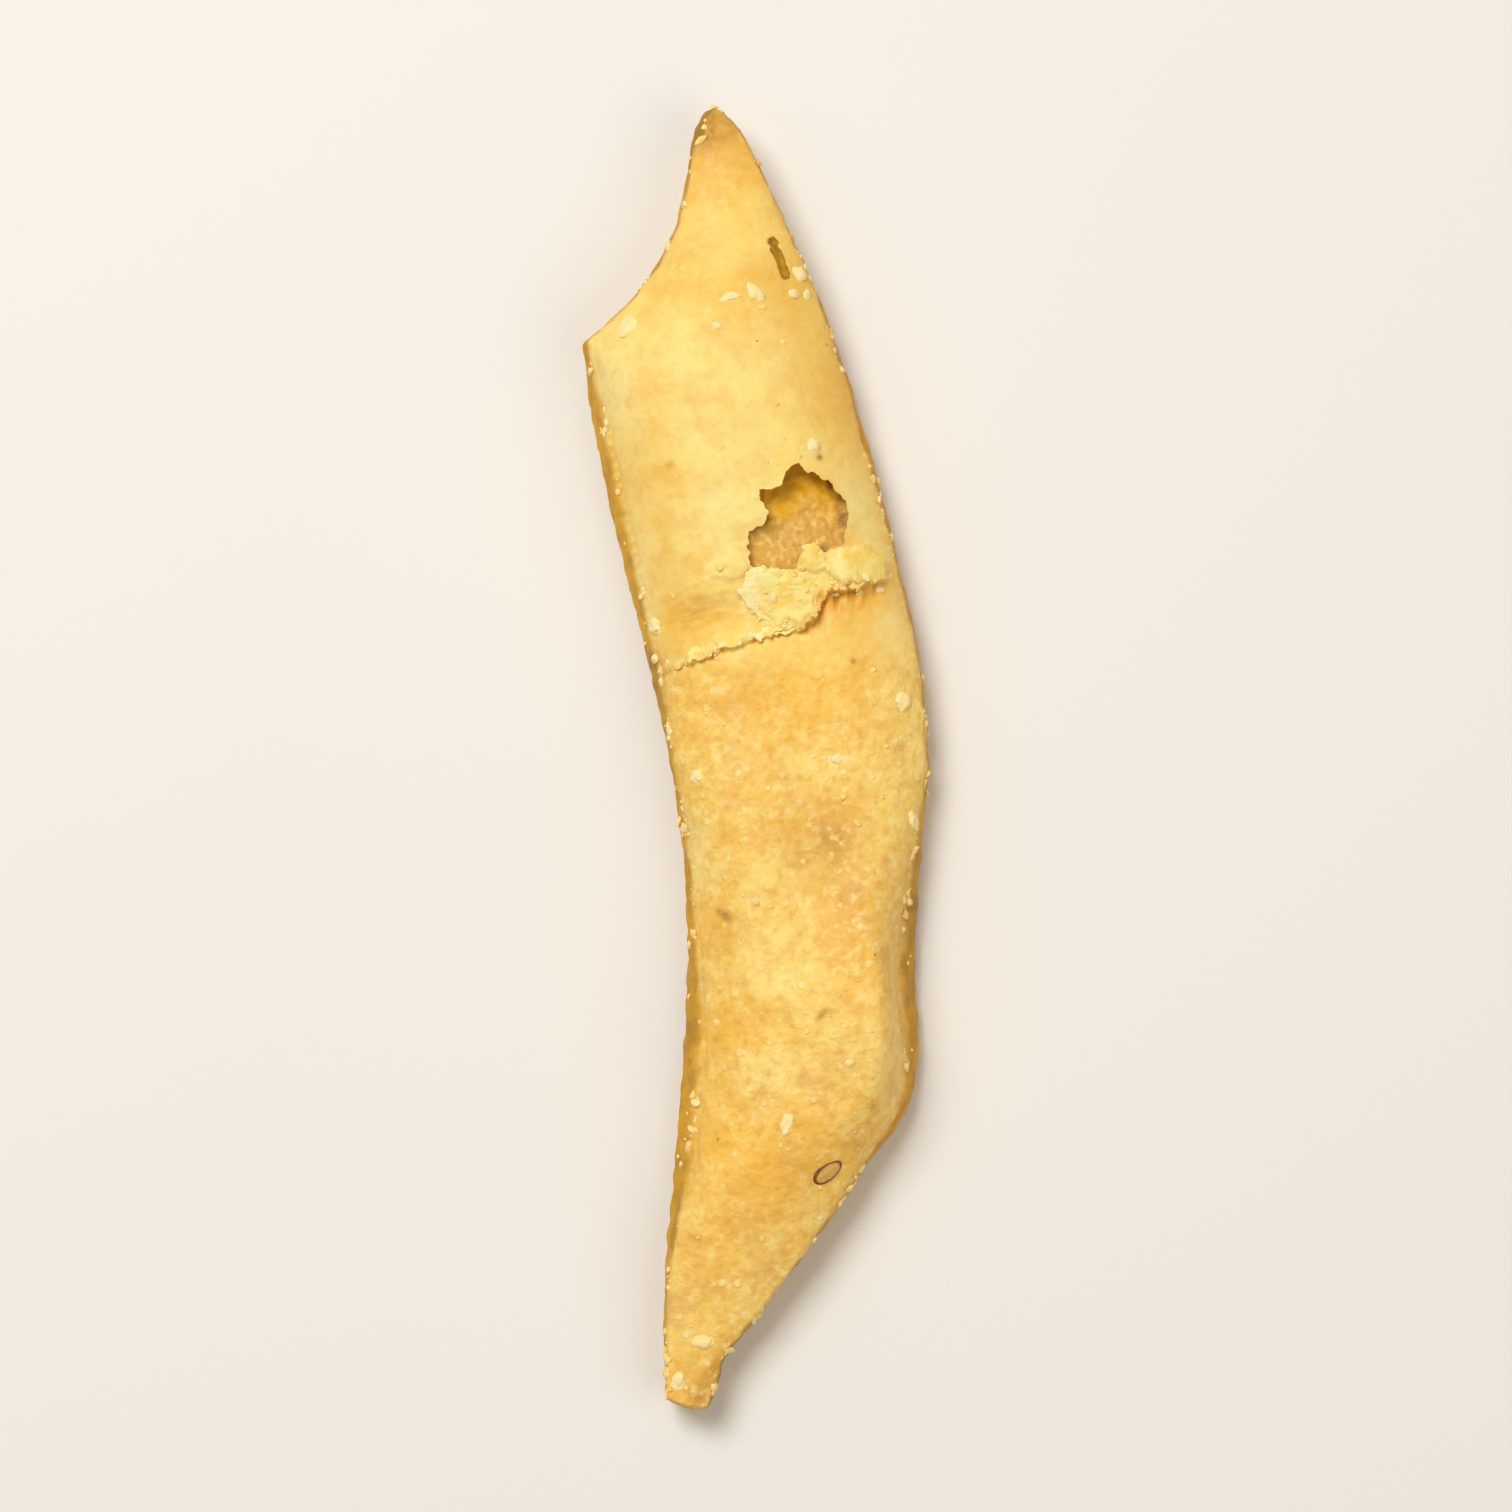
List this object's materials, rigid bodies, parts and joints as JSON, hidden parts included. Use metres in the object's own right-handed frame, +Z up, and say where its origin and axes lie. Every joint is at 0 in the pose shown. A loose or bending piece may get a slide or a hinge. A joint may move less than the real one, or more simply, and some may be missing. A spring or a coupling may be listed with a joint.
{
  "type": "long mathri",
  "caption": "Slant-cut strip of puffed deep-fried dough, pointed at both ends, with a burst hole and a torn ridge across its blistered top.",
  "frame": {"origin": "centre of the outer box seen from above, on the surface that the strip rests on", "axes": "+Z up off the resting face, +Y along the strip towards its narrow tip, +X across it towards the side that bows out"},
  "size_m": [0.0192, 0.0718, 0.0071],
  "materials": {
    "fried_dough": "Golden fried dough, matt with a faint sheen of oil."
  },
  "bodies": {
    "root": {"mathri": "fried_dough"}
  },
  "joints": []
}
